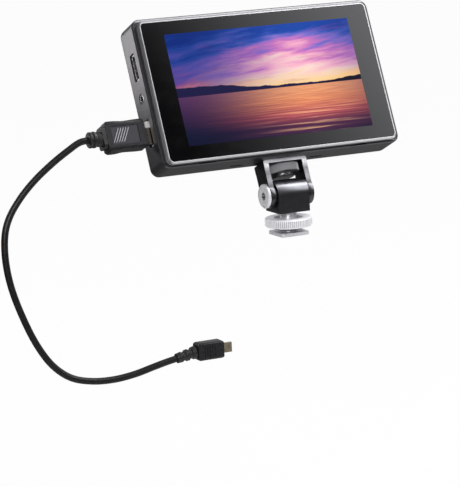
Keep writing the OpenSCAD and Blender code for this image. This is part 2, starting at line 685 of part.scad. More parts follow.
// Moulded grip: waisted outline, round edges, sunk panels with slanted ridges at their rear
module hdmi_plug_body() color([0.13, 0.13, 0.14]) on_plug() difference() {
    intersection() {
        bar_x(-plug_l, 0, plug_t, plug_h + 0.2, 2.6);
        rotate([90, 0, 0]) linear_extrude(plug_t + 2, center = true) polygon(concat(
            [for (s = [1.2:1.1:23.2]) [-s, plug_half(s)]], [[-plug_l, plug_half(plug_l) - 1.4]],
            [[-plug_l, -plug_half(plug_l) + 1.4]], [for (s = [23.2:-1.1:1.2]) [-s, -plug_half(s)]],
            [[0, -plug_half(0) + 1.2], [0, plug_half(0) - 1.2]]));
    }
    for (sy = [-1, 1]) difference() {
        translate([grip_x + grip_l/2, sy*plug_t/2, 0]) rotate([90, 0, 0])
            linear_extrude(2*grip_depth, center = true) rounded(grip_l, grip_h, 1);
        // ridges left standing in the rear half of the panel
        for (i = [0:4]) translate([grip_x + 2.6 + ridge_pitch*i, sy*plug_t/2, 0]) rotate([0, ridge_lean, 0])
            cube([ridge_w, 2, grip_h - 2.6], center = true);
    }
}

// Strain relief: oblong flange, neck and two rings at the lead's end
module hdmi_plug_boot() color([0.1, 0.1, 0.1]) on_plug() translate([-plug_l - 0.02, 0, 0])
    rotate([0, -90, 0]) difference() {
        union() {
            linear_extrude(2.4) rounded(13, 9, 2.2);
            rotate_extrude() polygon([[0, 1], [4.4, 1], [4.4, 4.9], [4, 5.3], [4, 5.9], [4.8, 6.3], [4.8, 7.5],
                [4.1, 7.9], [4.1, 8.3], [4.7, 8.7], [4.7, boot_l - 0.5], [4.2, boot_l], [0, boot_l]]);
        }
        translate([0, 0, boot_l - 2]) cylinder(h = 3, d = lead_d + 0.02);
    }

// Route of the lead from the monitor plug's boot to the camera plug's boot
route = [[-117.75, 13.88, 66.92], [-124.5, 14.2, 66.3], [-132, 14.2, 62.4], [-142.5, 13.8, 56],
    [-154, 13.2, 47.6], [-163.5, 12.5, 38.6], [-171, 11.6, 28.8], [-175, 10.5, 18.5], [-176, 9.2, 4.5],
    [-174, 8.2, -11], [-169, 7, -28], [-162, 5.8, -45], [-153.5, 4.6, -58.5], [-143, 3.4, -67.2],
    [-130.5, 2.4, -71], [-117, 1.5, -71.8], [-104, 0.8, -70.4], [-92, 0.3, -67.7], [-84, 0.1, -66],
    [-79.6, 0, -65.2], [-75.4, 0, -64.5]];

// Point at fraction t of the stretch from route point i to the next, on a smooth curve
function hold(i) = route[max(0, min(len(route) - 1, i))];
function smooth(i, t) = 0.5*(2*hold(i) + (hold(i + 1) - hold(i - 1))*t
    + (2*hold(i - 1) - 5*hold(i) + 4*hold(i + 1) - hold(i + 2))*t*t
    + (3*hold(i) - hold(i - 1) - 3*hold(i + 1) + hold(i + 2))*t*t*t);
lead_path = concat([for (i = [0:len(route) - 2], t = [0, 0.5]) smooth(i, t)], [route[len(route) - 1]]);

function unit(v) = v/norm(v);
function heading(p, i) = unit(p[min(len(p) - 1, i + 1)] - p[max(0, i - 1)]);

// Tube of radius r and n sides along the points p
module tube(p, r, n) {
    up = [0, 1, 0.13];
    rings = [for (i = [0:len(p) - 1]) let (d = heading(p, i), u = unit(cross(up, d)), v = cross(d, u))
        for (k = [0:n - 1]) p[i] + r*(cos(360*k/n)*u + sin(360*k/n)*v)];
    last = (len(p) - 1)*n;
    polyhedron(points = rings, convexity = 10, faces = concat(
        [[for (k = [0:n - 1]) k]], [[for (k = [n - 1:-1:0]) last + k]],
        [for (i = [0:len(p) - 2], k = [0:n - 1]) let (a = i*n + k, b = i*n + (k + 1) % n) [a, a + n, b + n]],
        [for (i = [0:len(p) - 2], k = [0:n - 1]) let (a = i*n + k, b = i*n + (k + 1) % n) [a, b + n, b]]));
}

module lead_cable() color([0.09, 0.09, 0.09]) tube(lead_path, lead_d/2, 10);

// Camera end: drooping boot, moulded body and small metal shell
module camera_plug_boot() color([0.1, 0.1, 0.1]) on_camera_plug()
    translate([-cam_body_l - 0.02, 0, 0]) rotate([0, -90 - boot_droop, 0]) difference() {
        rotate_extrude() polygon([[0, 0.8], [3.9, 0.8], [3.7, 3], [2.9, 3.6], [2.8, 5], [3.5, 5.6],
            [3.4, 7.4], [2.7, 8], [2.7, 9.2], [3.2, 9.8], [2.9, cam_boot_l], [0, cam_boot_l]]);
        translate([0, 0, cam_boot_l - 2]) cylinder(h = 3, d = lead_d + 0.02);
    }

module camera_plug_body() color([0.13, 0.13, 0.14]) on_camera_plug() difference() {
    intersection() {
        bar_x(-cam_body_l, 0, cam_body_t, cam_body_h, 1.4);
        rotate([90, 0, 0]) linear_extrude(cam_body_t + 2, center = true)
            translate([-cam_body_l/2, 0]) rounded(cam_body_l, cam_body_h, 1.6);
    }
    for (sy = [-1, 1], i = [0:4]) translate([-cam_body_l + 4 + 1.6*i, sy*cam_body_t/2, 0])
        cube([0.7, 0.6, cam_body_h - 4.4], center = true);
}

module camera_plug_shell() color("silver") on_camera_plug() difference() {
    video_bar(0.02, 6.5, 2.2, 5.9, 0.5);
    video_bar(1.5, 7, 1.6, 5.3, 0.4);
}

front_frame();
cover_glass();
lcd_panel();
backlight_unit();
mid_chassis();
main_board();
heat_sink();
hdmi_out_socket();
hdmi_in_socket();
audio_jack();
dc_jack();
usb_socket();
power_switch();
power_button();
rear_cover();
battery_plate();
battery_contacts();
battery_latch();
plate_screws();
thread_insert();
rear_screws();
board_screws();
yoke_bracket();
plate_pad();
thumb_wheel();
thumb_screw();
pivot_screw();
friction_washers();
tilt_block();
shoe_foot();
clamp_washer();
lock_ring();
hdmi_plug_shell();
hdmi_plug_body();
hdmi_plug_boot();
lead_cable();
camera_plug_boot();
camera_plug_body();
camera_plug_shell();
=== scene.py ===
import math

import bmesh
import bpy
from mathutils import Matrix, Vector


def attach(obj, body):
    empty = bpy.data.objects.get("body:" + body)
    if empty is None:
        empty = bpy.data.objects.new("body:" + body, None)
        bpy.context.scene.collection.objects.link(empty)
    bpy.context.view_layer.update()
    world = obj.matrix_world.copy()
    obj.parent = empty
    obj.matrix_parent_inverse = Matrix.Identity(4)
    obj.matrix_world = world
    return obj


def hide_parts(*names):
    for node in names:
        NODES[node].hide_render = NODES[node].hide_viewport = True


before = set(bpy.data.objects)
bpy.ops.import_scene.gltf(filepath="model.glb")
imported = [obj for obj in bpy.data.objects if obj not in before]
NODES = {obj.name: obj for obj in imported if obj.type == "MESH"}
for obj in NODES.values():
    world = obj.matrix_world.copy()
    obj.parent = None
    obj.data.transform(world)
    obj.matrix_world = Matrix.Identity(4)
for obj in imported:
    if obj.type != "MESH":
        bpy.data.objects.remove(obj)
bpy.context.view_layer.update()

SCENE = bpy.context.scene
MM = 0.001
MICRON = 0.000001

# ---------- dimensions and frames, as in the CAD, in millimetres ----------

TILT = math.radians(23.8)                   # how far the screen leans back from upright
PIVOT = Vector((0, 0, 24.3))                # middle of the barrel
SCREEN_AT = Vector((-2.75, -16.5, 65.4))    # middle of the glass's front, in the yoke's frame
PLUG_AT = Vector((-85, -4.5, 44.6))         # front end of the monitor plug's grip, in the yoke's frame
PICTURE_W, PICTURE_H = 121.8, 68.5
HOUSING_W, HOUSING_H = 156.8, 91.1
HOUSING_UP = 0.45                           # the housing's middle lies above the picture's
PORT_D, JACK_UP = 12, 0.3                   # headphone socket, behind and above the glass's middle
KNURL_LOW, KNURL_HIGH = 9.5, 10.1           # radii of the knurl's grooves and points
KNURL_FROM, KNURL_TO = 12.1, 16.6           # heights of its ends, in the yoke's frame
LEAD_D = 4.0

YOKE = Matrix.Translation(PIVOT * MM) @ Matrix.Rotation(-TILT, 4, "X")
SCREEN = YOKE @ Matrix.Translation(SCREEN_AT * MM)
SIDE_AT = SCREEN_AT - Vector((HOUSING_W / 2, 0, 0))    # on the side that holds the sockets


# ---------- camera ----------

def add_camera():
    """The photograph's viewpoint: about 1.4 m away, from the front left and a little above."""
    az, el, roll = (math.radians(a) for a in (25.776, 10.556, -2.64))
    ahead = Vector((math.sin(az) * math.cos(el), math.cos(az) * math.cos(el), -math.sin(el)))
    right = Vector((math.cos(az), -math.sin(az), 0))
    up = Vector((math.sin(az) * math.sin(el), math.cos(az) * math.sin(el), math.cos(el)))
    rolled_right = right * math.cos(roll) + up * math.sin(roll)
    rolled_up = -right * math.sin(roll) + up * math.cos(roll)
    data = bpy.data.cameras.new("photo_camera")
    data.sensor_fit = "AUTO"
    data.sensor_width = 36
    data.lens = 177.41
    data.clip_start = 0.05
    data.clip_end = 20
    cam = bpy.data.objects.new("photo_camera", data)
    m = Matrix((rolled_right, rolled_up, -ahead)).transposed().to_4x4()
    m.translation = Vector((-641.4, -1247.1, 257.1)) * MM
    cam.matrix_world = m
    SCENE.collection.objects.link(cam)
    SCENE.camera = cam


add_camera()


# ---------- node helpers ----------

class Net:
    """The nodes of a material or world, and short ways to add to them."""

    def __init__(self, owner, space):
        """space names the coordinates that the textures use."""
        owner.use_nodes = True
        self.owner = owner
        self.t = owner.node_tree
        self.t.nodes.clear()
        self.coord = self.new("TexCoord").outputs[space]

    def new(self, kind, **props):
        n = self.t.nodes.new("ShaderNode" + kind)
        for k, v in props.items():
            setattr(n, k, v)
        return n

    def put(self, socket, value):
        """Links a socket to another one's output, or gives it a plain value."""
        if isinstance(value, bpy.types.NodeSocket):
            self.t.links.new(value, socket)
        else:
            socket.default_value = value

    def set(self, **values):
        """Sets inputs of the material's shader, with _ for the space in a name."""
        for k, v in values.items():
            self.put(self.bsdf.inputs[k.replace("_", " ")], v)

    def fill(self, node, *values):
        """Puts values into a node's first inputs and returns its first output."""
        for socket, v in zip(node.inputs, values):
            self.put(socket, v)
        return node.outputs[0]

    def math(self, op, a, b=0.0, c=0.0, clamp=False):
        return self.fill(self.new("Math", operation=op, use_clamp=clamp), a, b, c)

    def product(self, first, *others):
        for v in others:
            first = self.math("MULTIPLY", first, v)
        return first

    def size(self, x):
        return self.math("ABSOLUTE", x)

    def radius(self, a, b):
        """Distance from an axis, from the two coordinates across it."""
        return self.math("SQRT", self.math("ADD", self.product(a, a), self.product(b, b)))

    def bell(self, squared, sharpness):
        """Falls from 1 as a squared distance grows."""
        return self.math("EXPONENT", self.math("MULTIPLY", squared, -sharpness))

    def step(self, x, lo, hi, a=0.0, b=1.0):
        """Smooth step: a below lo, b above hi."""
        return self.fill(self.new("MapRange", interpolation_type="SMOOTHSTEP"), x, lo, hi, a, b)

    def fall(self, x, lo, hi):
        """Smooth step down: 1 below lo, 0 above hi."""
        return self.step(x, lo, hi, 1.0, 0.0)

    def band(self, x, lo, lo_full, hi_full, hi):
        """1 between the two middle limits, 0 outside the outer ones."""
        return self.product(self.step(x, lo, lo_full), self.fall(x, hi_full, hi))

    def mm(self, stretch=(1, 1, 1), turn=0.0, move=(0, 0, 0)):
        """Coordinates in millimetres: stretched, turned about X and then moved."""
        n = self.new("Mapping")
        self.put(n.inputs["Vector"], self.coord)
        n.inputs["Location"].default_value = move
        n.inputs["Rotation"].default_value = (turn, 0, 0)
        n.inputs["Scale"].default_value = tuple(s / MM for s in stretch)
        return n.outputs[0]

    def leaning(self, origin=(0, 0, 0)):
        """X, Y and Z in millimetres as the screen leans, from a point in the yoke's frame."""
        at = Matrix.Rotation(TILT, 4, "X") @ PIVOT + Vector(origin)
        return self.xyz(self.mm(turn=TILT, move=tuple(-at)))

    def xyz(self, vec):
        n = self.new("SeparateXYZ")
        self.put(n.inputs[0], vec)
        return n.outputs

    def combine(self, x, y, z):
        return self.fill(self.new("CombineXYZ"), x, y, z)

    def noise(self, vec, scale, detail, rough):
        n = self.new("TexNoise")
        self.put(n.inputs["Vector"], vec)
        self.put(n.inputs["Scale"], scale)
        self.put(n.inputs["Detail"], detail)
        self.put(n.inputs["Roughness"], rough)
        return n.outputs["Fac"]

    def mix(self, fac, a, b):
        """Colour a where fac is 0 and b where it is 1."""
        n = self.new("Mix", data_type="RGBA")
        self.put(n.inputs[0], fac)
        for socket, v in ((n.inputs[6], a), (n.inputs[7], b)):
            self.put(socket, v if isinstance(v, bpy.types.NodeSocket) else (*v, 1))
        return n.outputs[2]

    def ramp(self, fac, *stops):
        """Colours at places from 0 to 1."""
        n = self.new("ValToRGB")
        self.put(n.inputs[0], fac)
        marks = n.color_ramp.elements
        while len(marks) < len(stops):
            marks.new(0.5)
        for mark, (place, colour) in zip(marks, stops):
            mark.position = place
            mark.color = (*colour, 1)
        return n.outputs[0]

    def bump(self, height, depth, normal=None):
        n = self.new("Bump")
        n.inputs["Strength"].default_value = 1
        n.inputs["Distance"].default_value = depth
        self.put(n.inputs["Height"], height)
        if normal:
            self.put(n.inputs["Normal"], normal)
        return n.outputs[0]


def material(name):
    """A new material with one Principled shader."""
    n = Net(bpy.data.materials.new(name), "Object")
    n.bsdf = n.new("BsdfPrincipled")
    n.out = n.new("OutputMaterial")
    n.put(n.out.inputs[0], n.bsdf.outputs[0])
    return n


def surface(name, dark, light, rough, metal=0.0, grain=4.0, depth=10, mottle=0.12, stretch=(1, 1, 1),
            specular=0.5):
    """A moulded, turned or sheet finish: mottled colour, uneven gloss and fine relief.
    Colour lies between dark and light, and roughness between the two values of rough. mottle and grain
    are the scales of blotches and relief per millimetre, and depth is the relief's height in micrometres."""
    n = material(name)
    mm = n.mm(stretch)
    n.colour = n.mix(n.step(n.noise(mm, mottle, 4, 0.6), 0.3, 0.7), dark, light)
    n.relief = n.bump(n.noise(mm, grain, 2, 0.6), depth * MICRON)
    n.set(Base_Color=n.colour, Metallic=metal, IOR=1.5, Specular_IOR_Level=specular)
    n.set(Roughness=n.step(n.noise(mm, mottle * 3, 3, 0.6), 0.3, 0.7, *rough), Normal=n.relief)
    return n


# ---------- piece helpers ----------

def dress(node, net, width=0.0, segments=2):
    """Gives a CAD node its material and, if asked, round edges of a width in millimetres."""
    o = NODES[node]
    o.data.materials.clear()
    o.data.materials.append(net.owner)
    if width:
        weld = o.modifiers.new("weld", "WELD")
        weld.merge_threshold = 2 * MICRON
        bevel = o.modifiers.new("bevel", "BEVEL")
        bevel.width = width * MM
        bevel.segments = segments
        bevel.limit_method = "ANGLE"
        bevel.angle_limit = math.radians(32)


def make(name, bm, body, net, place, smooth=None):
    """A mesh piece from bmesh data, placed by a matrix, riding on a body.
    smooth is the greatest angle, in degrees, that is shaded smooth."""
    me = bpy.data.meshes.new(name)
    bmesh.ops.recalc_face_normals(bm, faces=bm.faces)
    bm.to_mesh(me)
    bm.free()
    me.transform(place)
    if smooth is not None:
        me.shade_smooth()
        me.set_sharp_from_angle(angle=math.radians(smooth))
    me.materials.append(net.owner)
    o = bpy.data.objects.new(name, me)
    SCENE.collection.objects.link(o)
    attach(o, body)
    return o


# ---------- lead: the CAD's route, in millimetres ----------

ROUTE = [(-117.75, 13.88, 66.92), (-124.5, 14.2, 66.3), (-132, 14.2, 62.4), (-142.5, 13.8, 56),
         (-154, 13.2, 47.6), (-163.5, 12.5, 38.6), (-171, 11.6, 28.8), (-175, 10.5, 18.5), (-176, 9.2, 4.5),
         (-174, 8.2, -11), (-169, 7, -28), (-162, 5.8, -45), (-153.5, 4.6, -58.5), (-143, 3.4, -67.2),
         (-130.5, 2.4, -71), (-117, 1.5, -71.8), (-104, 0.8, -70.4), (-92, 0.3, -67.7), (-84, 0.1, -66),
         (-79.6, 0, -65.2), (-75.4, 0, -64.5)]


def add_lead():
    """One open curve through the route, with the same tangents as the CAD's sweep."""
    pts = [Vector(p) * MM for p in ROUTE]
    last = len(pts) - 1
    handles = [(pts[min(last, i + 1)] - pts[max(0, i - 1)]) / 6 for i in range(last + 1)]
    curve = bpy.data.curves.new("video_lead", "CURVE")
    curve.dimensions = "3D"
    curve.bevel_depth = LEAD_D / 2 * MM
    curve.bevel_resolution = 7
    curve.resolution_u = 10
    curve.use_fill_caps = True
    spline = curve.splines.new("BEZIER")
    spline.bezier_points.add(last)
    for b, at, handle in zip(spline.bezier_points, pts, handles):
        b.handle_left_type = b.handle_right_type = "FREE"
        b.co = at
        b.handle_left = at - handle
        b.handle_right = at + handle
    o = bpy.data.objects.new("video_lead", curve)
    SCENE.collection.objects.link(o)
    jacket = surface("lead_jacket", (0.006, 0.006, 0.0065), (0.011, 0.011, 0.012), (0.36, 0.46), grain=3.0,
                     depth=6, mottle=0.3, specular=0.35)
    curve.materials.append(jacket.owner)
    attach(o, "lead")
    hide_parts("lead_cable")


add_lead()


# ---------- picture on the screen: a sunset over water, made from noise ----------
# u and v run from 0 to 1 across and up the picture, and spread is the squared distance from the sun's column.

SHORE = 0.43    # height of the waterline
SUN = 0.70      # place of the sun's column
EMBER = (1.0, 0.66, 0.28)


def sky(n, u, v, spread):
    """A cold and a warm side drawn out into streaks of cloud, the sun's glow and a darker bank of cloud."""
    warmth = n.bell(spread, 8.5)
    h = n.math("MULTIPLY_ADD", v, 1 / (1 - SHORE), -SHORE / (1 - SHORE))    # 0 at the shore, 1 at the top
    drift = n.noise(n.combine(u, v, 3.0), 2.0, 3, 0.5)
    across = n.math("ADD", drift, n.math("MULTIPLY_ADD", u, -1.3, n.math("MULTIPLY", v, 6.0)))
    streak = n.noise(n.combine(n.math("MULTIPLY", u, 1.5), across, 0.0), 1.6, 7, 0.55)
    shift = n.product(n.math("SUBTRACT", streak, 0.5), n.step(h, 0.0, 0.35, 0.5, 1.5))
    level = n.math("ADD", h, shift)
    warm = n.ramp(level, (0.0, EMBER), (0.16, (1.0, 0.76, 0.68)), (0.36, (1.0, 0.48, 0.62)),
                  (0.54, (0.66, 0.20, 0.55)), (0.70, (0.22, 0.17, 0.64)), (0.84, (0.05, 0.11, 0.52)),
                  (1.0, (0.012, 0.065, 0.40)))
    cold = n.ramp(level, (0.0, (0.45, 0.14, 0.20)), (0.12, (0.20, 0.05, 0.22)), (0.28, (0.10, 0.05, 0.28)),
                  (0.50, (0.035, 0.055, 0.32)), (0.75, (0.008, 0.042, 0.26)), (1.0, (0.003, 0.022, 0.19)))
    low = n.math("SUBTRACT", h, 0.06)
    glow = n.product(n.bell(spread, 12.0), n.bell(n.product(low, low), 70.0), 0.8)
    clear = n.mix(glow, n.mix(warmth, cold, warm), EMBER)
    slant = n.math("MULTIPLY_ADD", u, -1.6, n.math("MULTIPLY", v, 13.0))
    bank = n.noise(n.combine(n.math("MULTIPLY", u, 2.2), slant, 7.0), 1.2, 6, 0.6)
    shade = n.mix(warmth, (0.03, 0.03, 0.20), (0.34, 0.06, 0.30))
    return n.mix(n.product(n.step(bank, 0.54, 0.72), 0.38), clear, shade)


def ridge(n, behind, u, v, trend, seed, scale, detail, rough, height, drop, soft, colour):
    """One dark ridge of land: its top follows a trend, roughened by noise of a height."""
    rough_top = n.noise(n.combine(u, seed, 0.0), scale, detail, rough)
    top = n.math("ADD", trend, n.math("MULTIPLY_ADD", rough_top, height, -drop))
    return n.mix(n.step(n.math("SUBTRACT", top, v), -soft, soft), behind, colour)


def water(n, u, v, spread):
    """The sky's colours turned over, broken by ripples that grow towards the viewer."""
    depth = n.math("MULTIPLY_ADD", v, -1 / SHORE, 1.0, clamp=True)
    lit = n.ramp(depth, (0.0, (1.0, 0.42, 0.18)), (0.30, (1.0, 0.33, 0.14)), (0.58, (0.66, 0.13, 0.13)),
                 (0.78, (0.15, 0.034, 0.085)), (1.0, (0.06, 0.022, 0.065)))
    dull = n.ramp(depth, (0.0, (0.080, 0.026, 0.105)), (0.35, (0.034, 0.014, 0.066)),
                  (0.70, (0.006, 0.008, 0.036)), (1.0, (0.002, 0.005, 0.024)))
    shrink = n.math("DIVIDE", 1.0, n.math("MULTIPLY_ADD", depth, 1.4, 0.16))
    ripple = n.noise(n.combine(n.product(u, n.math("MULTIPLY", shrink, 2.2)),
                               n.math("MULTIPLY", shrink, 22.0), 1.0), 1.0, 4, 0.55)
    path = n.product(n.bell(spread, 9.0), n.step(ripple, 0.62, 0.40, 0.62, 1.0))
    gleam = n.product(n.step(ripple, 0.47, 0.36), n.bell(spread, 30.0), 0.6)
    return n.mix(gleam, n.mix(path, dull, lit), (1.0, 0.55, 0.28))


def picture_material():
    """The lit display, a dark sheet that gives out the picture's own light."""
    n = material("lit_picture")
    x, _, z = n.leaning(SCREEN_AT)
    u = n.math("MULTIPLY_ADD", x, 1 / PICTURE_W, 0.5)
    v = n.math("MULTIPLY_ADD", z, 1 / PICTURE_H, 0.5)
    beside = n.math("SUBTRACT", u, SUN)
    spread = n.product(beside, beside)
    far = ridge(n, sky(n, u, v, spread), u, v, n.step(u, 0.05, 0.60, SHORE + 0.085, SHORE + 0.022),
                0.0, 6.0, 4, 0.55, 0.07, 0.035, 0.003, (0.012, 0.010, 0.055))
    near = ridge(n, far, u, v, n.step(u, 0.72, 1.0, SHORE - 0.004, SHORE + 0.045),
                 5.0, 11.0, 6, 0.62, 0.05, 0.022, 0.002, (0.004, 0.004, 0.020))
    picture = n.mix(n.fall(v, SHORE - 0.002, SHORE + 0.002), near, water(n, u, v, spread))
    n.set(Base_Color=(0.004, 0.004, 0.005, 1), Roughness=0.12, IOR=1.5, Specular_IOR_Level=0.03)
    n.set(Emission_Color=picture, Emission_Strength=1.0)
    return n


def add_picture():
    """The display's own surface, bonded to the glass: a thin sheet with small round corners."""
    front, back, corner = 0.035, 0.06, 0.6
    w, h = PICTURE_W / 2 - corner, PICTURE_H / 2 - corner
    bm = bmesh.new()
    outline = [(sx * w + corner * math.cos(a), sz * h + corner * math.sin(a))
               for sx, sz, start in ((1, 1, 0), (-1, 1, 90), (-1, -1, 180), (1, -1, 270))
               for a in (math.radians(start + 15 * k) for k in range(7))]
    face = bm.faces.new([bm.verts.new(Vector((x, back, z)) * MM) for x, z in outline])
    out = bmesh.ops.extrude_face_region(bm, geom=[face])
    for v in (k for k in out["geom"] if isinstance(k, bmesh.types.BMVert)):
        v.co.y = front * MM
    o = make("lit_picture", bm, "monitor", picture_material(), SCREEN)


def glass_material():
    """Polished glass over a black printed border, with faint wipe marks in its gloss."""
    n = material("screen_glass")
    smear = n.noise(n.mm((0.035, 0.060, 0.060)), 2.0, 5, 0.6)
    n.set(Base_Color=n.mix(smear, (0.0015, 0.0015, 0.0018), (0.0030, 0.0030, 0.0034)), IOR=1.5)
    n.set(Roughness=n.step(smear, 0.35, 0.75, 0.02, 0.07))
    return n


dress("cover_glass", glass_material())
add_picture()


# ---------- finishes ----------

shell = surface("shell_plastic", (0.013, 0.013, 0.0145), (0.021, 0.0205, 0.0235), (0.33, 0.40), grain=2.2,
                depth=22, mottle=0.5)
back_plastic = surface("back_plastic", (0.014, 0.014, 0.015), (0.020, 0.020, 0.0215), (0.42, 0.52),
                       grain=3.5, depth=14)
frame_plastic = surface("frame_plastic", (0.020, 0.020, 0.021), (0.026, 0.026, 0.027), (0.30, 0.38),
                        grain=5.0, depth=6)
socket_metal = surface("socket_metal", (0.07, 0.068, 0.066), (0.62, 0.61, 0.60), (0.22, 0.36), metal=1.0,
                       grain=2.0, depth=6, mottle=1.1)
jack_plastic = surface("jack_plastic", (0.010, 0.010, 0.010), (0.016, 0.016, 0.016), (0.25, 0.35))
headphone = surface("headphone_socket", (0.010, 0.010, 0.010), (0.016, 0.016, 0.016), (0.18, 0.26))
button_plastic = surface("button_plastic", (0.040, 0.040, 0.042), (0.052, 0.052, 0.054), (0.35, 0.45))
catch_plastic = surface("catch_plastic", (0.012, 0.012, 0.012), (0.02, 0.02, 0.02), (0.32, 0.42))

anodised = surface("black_anodised", (0.075, 0.075, 0.080), (0.10, 0.10, 0.106), (0.26, 0.32), metal=1.0,
                   grain=9.0, depth=0.6, mottle=0.4)
block_metal = surface("block_anodised", (0.20, 0.20, 0.215), (0.23, 0.23, 0.247), (0.30, 0.33), metal=1.0,
                      grain=9.0, depth=0.6, mottle=0.4)
wheel_metal = surface("wheel_anodised", (0.10, 0.10, 0.106), (0.14, 0.14, 0.147), (0.22, 0.28), metal=0.8,
                      grain=9.0, depth=0.6, mottle=0.4)
pivot_metal = surface("turned_steel", (0.74, 0.74, 0.75), (0.86, 0.86, 0.87), (0.24, 0.34), metal=0.2,
                      grain=3.0, depth=3, mottle=0.5)
ring_metal = surface("bright_ring", (0.90, 0.90, 0.92), (0.96, 0.96, 0.98), (0.28, 0.38), metal=0.12,
                     grain=3.0, depth=3, mottle=0.5)
foot_metal = surface("foot_metal", (0.66, 0.66, 0.68), (0.78, 0.78, 0.80), (0.28, 0.40), metal=0.3,
                     grain=2.0, depth=4, mottle=0.5, stretch=(1, 6, 1))
rubber = surface("friction_rubber", (0.014, 0.014, 0.014), (0.022, 0.022, 0.022), (0.65, 0.8), depth=20)

plug_plastic, grip_plastic = (
    surface(name, (0.011, 0.011, 0.013), (0.018, 0.0175, 0.020), (0.36, 0.46), grain=2.5, depth=16,
            mottle=0.5, specular=0.3) for name in ("plug_plastic", "grip_plastic"))
boot_plastic = surface("boot_plastic", (0.012, 0.012, 0.012), (0.019, 0.019, 0.019), (0.38, 0.5),
                       mottle=0.25)
plug_metal = surface("plug_metal", (0.42, 0.36, 0.26), (0.60, 0.52, 0.38), (0.2, 0.34), metal=1.0,
                     grain=2.0, depth=5, mottle=0.5)
shell_metal = surface("plug_shell_metal", (0.42, 0.39, 0.34), (0.66, 0.62, 0.55), (0.2, 0.30), metal=1.0,
                      grain=2.0, depth=5, mottle=0.9)

gold = surface("contact_gold", (0.70, 0.48, 0.16), (0.85, 0.62, 0.25), (0.2, 0.3), metal=1.0)
brass = surface("insert_brass", (0.52, 0.36, 0.13), (0.68, 0.50, 0.22), (0.28, 0.4), metal=1.0)
black_screw = surface("black_screws", (0.012, 0.012, 0.013), (0.03, 0.03, 0.031), (0.3, 0.42), metal=0.6)
steel_screw = surface("steel_screws", (0.44, 0.44, 0.45), (0.60, 0.60, 0.61), (0.25, 0.36), metal=1.0)
sheet_metal = surface("sheet_metal", (0.50, 0.50, 0.51), (0.62, 0.62, 0.63), (0.3, 0.42), metal=1.0,
                      stretch=(8, 1, 1))
acrylic = surface("acrylic", (0.70, 0.71, 0.72), (0.80, 0.81, 0.82), (0.2, 0.3))
cell = surface("lcd_cell", (0.010, 0.011, 0.02), (0.018, 0.019, 0.03), (0.08, 0.14))
board_mask = surface("board_mask", (0.008, 0.05, 0.022), (0.012, 0.075, 0.035), (0.25, 0.4), mottle=0.6)
cooler = surface("cooler_fins", (0.20, 0.20, 0.21), (0.28, 0.28, 0.29), (0.35, 0.45), metal=1.0)


# ---------- details of finishes, painted highlights and painted shade, placed in millimetres ---

def cut_edges(n):
    """Makes the rim's bevel bright bare metal, and gives the bead behind its groove a painted highlight of
    half bright metal.
    """
    _, y, _ = n.leaning(SCREEN_AT)
    bevel = n.fall(y, 0.86, 0.96)
    bead_highlight = n.product(n.step(y, 1.40, 1.50), n.step(y, 2.9, 3.2, 0.5, 0.0))
    metal_and_painted_highlight = n.math("ADD", bevel, bead_highlight, clamp=True)
    # bare metal on the bevel, painted highlight on the bead
    n.set(Base_Color=n.mix(metal_and_painted_highlight, n.colour, (0.62, 0.62, 0.63)), Metallic=metal_and_painted_highlight)


def front_ledge(n):
    """Glossy lacquer on the shell's front ledge, which rolls over at its outer edge."""
    _, y, z = n.leaning(SCREEN_AT + Vector((0, 0, HOUSING_UP)))
    ledge = n.product(n.fall(y, 4.05, 4.25), n.step(n.size(z), 43.4, 43.9))
    n.set(Base_Color=n.mix(ledge, n.colour, (0.17, 0.17, 0.178)), Metallic=ledge)
    rolled_width, steepness = 1.5, -0.33
    over = n.math("MAXIMUM", n.math("SUBTRACT", n.size(z), HOUSING_H / 2 - rolled_width), 0.0)
    n.set(Normal=n.bump(n.product(over, over, n.math("MULTIPLY", ledge, steepness)), MM, n.relief))


def groove_shade(n):
    """Painted shade: darkens the lock ring's serrations towards their floors."""
    x, y, z = n.xyz(n.mm())
    groove_shade_mask = n.product(n.fall(n.radius(x, y), 13.66, 14.05), n.band(z, 5.5, 5.9, 9.5, 9.9))
    # painted shade in the serrations
    n.set(Base_Color=n.mix(n.product(groove_shade_mask, 0.45), n.colour, (0.10, 0.10, 0.11)))


def front_highlights(n):
    """Painted highlights: paler, less metallic colour on the bracket's faces that look forward, brightest on
    top.
    """
    _, y, z = n.xyz(n.new("TexCoord").outputs["Normal"])
    forward = n.math("MULTIPLY_ADD", z, math.sin(TILT), n.math("MULTIPLY", y, -math.cos(TILT)))
    _, _, up = n.leaning()
    arms_end, plate = 12.5, 17.6
    arm_highlight = n.mix(n.step(up, 7.0, 15.0), (0.36, 0.36, 0.375), (0.20, 0.20, 0.21))
    metal_and_painted_highlight = n.mix(n.step(up, arms_end, plate), arm_highlight, (0.90, 0.90, 0.92))
    facing_front = n.product(n.step(forward, 0.80, 0.97), n.step(up, 4.0, 7.5, 0.3, 1.0))
    less_metal = n.step(up, arms_end, plate, -0.35, -0.7)
    # painted highlight on the forward faces, brightest on the plate
    n.set(Base_Color=n.mix(facing_front, n.colour, metal_and_painted_highlight), Metallic=n.math("MULTIPLY_ADD", facing_front, less_metal, 1.0))


def knurl_glints_and_shade(n):
    """Paints the wheel's diamonds near white at their points, partly as wear and partly as a painted glint,
    and paints shade into the grooves, near black.
    """
    x, y, z = n.leaning()
    edge = 0.1
    knurl = n.band(z, KNURL_FROM - edge, KNURL_FROM + edge, KNURL_TO - edge, KNURL_TO + edge)
    point_glint = n.step(n.radius(x, y), KNURL_LOW + 0.16, KNURL_LOW + 0.36)
    # near black painted shade in the grooves; at the points, worn metal and a painted glint
    glint_and_groove_shade = n.mix(point_glint, (0.004, 0.004, 0.005), (0.95, 0.95, 0.97))
    n.set(Base_Color=n.mix(knurl, n.colour, glint_and_groove_shade), Metallic=n.step(knurl, 0.0, 1.0, 0.8, 0.15))


